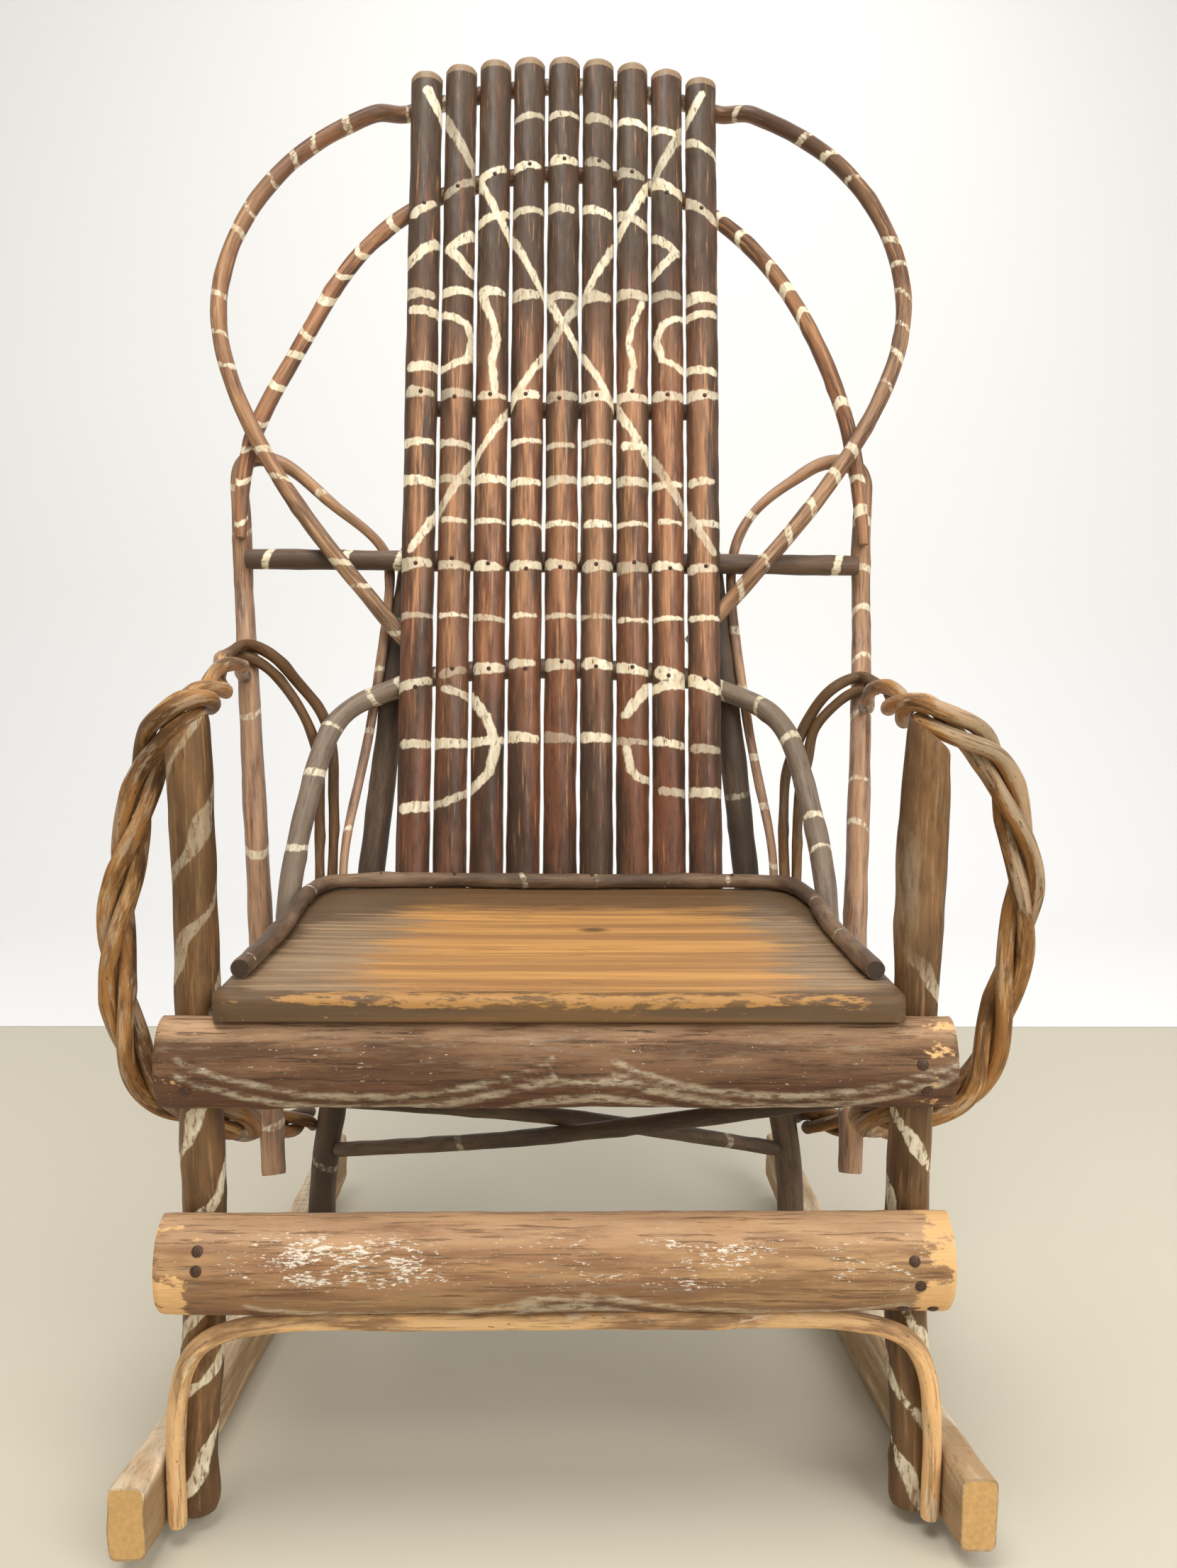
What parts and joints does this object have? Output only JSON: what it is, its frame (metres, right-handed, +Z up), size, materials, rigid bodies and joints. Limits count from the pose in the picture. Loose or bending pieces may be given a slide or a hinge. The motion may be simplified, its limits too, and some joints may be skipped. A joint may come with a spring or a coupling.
{
  "type": "rocking chair",
  "caption": "Rustic high-back rocking chair of bent saplings, with a slatted back inside bent hoops, a plank seat, arms of twisted saplings and sawn rockers.",
  "frame": {"origin": "on the floor, under the middle of the chair's bounding box", "axes": "+Z up, -Y the way the sitter faces, +X to the right as seen from the front"},
  "size_m": [0.7062, 0.5888, 1.2197],
  "materials": {
    "painted_bark": "dark brown paint with cream bands over bark, worn",
    "slat_paint": "dark reddish brown paint with cream bands, worn",
    "rail_bark": "weathered brown half-logs and legs with traces of cream paint",
    "bare_twig": "bare golden-brown saplings, weathered grey in places",
    "seat_wood": "worn orange-brown plank, dark at the edges",
    "sawn_wood": "rough sawn boards, dusty",
    "hidden_wood": "plain unfinished wood under the seat"
  },
  "bodies": {
    "root": {"rocker_left": "sawn_wood", "front_leg_left": "rail_bark", "rear_leg_left": "painted_bark", "side_seat_rail_left": "hidden_wood", "back_post_left": "painted_bark", "arm_strand_1_left": "bare_twig", "arm_strand_2_left": "bare_twig", "arm_strand_3_left": "bare_twig", "arm_tail_left": "bare_twig", "rocker_right": "sawn_wood", "front_leg_right": "rail_bark", "rear_leg_right": "painted_bark", "side_seat_rail_right": "hidden_wood", "back_post_right": "painted_bark", "arm_strand_1_right": "bare_twig", "arm_strand_2_right": "bare_twig", "arm_strand_3_right": "bare_twig", "arm_tail_right": "bare_twig", "front_seat_rail": "rail_bark", "lower_front_rail": "rail_bark", "front_brace": "bare_twig", "rear_seat_rail": "hidden_wood", "x_stretcher_1": "painted_bark", "x_stretcher_2": "painted_bark", "seat_board": "seat_wood", "seat_rim_twig": "painted_bark", "back_slat_1": "slat_paint", "back_slat_2": "slat_paint", "back_slat_3": "slat_paint", "back_slat_4": "slat_paint", "back_slat_5": "slat_paint", "back_slat_6": "slat_paint", "back_slat_7": "slat_paint", "back_slat_8": "slat_paint", "back_slat_9": "slat_paint", "outer_hoop": "painted_bark", "inner_hoop": "painted_bark", "cross_bar": "painted_bark", "middle_bar": "painted_bark", "lower_hoop": "painted_bark"}
  },
  "joints": []
}
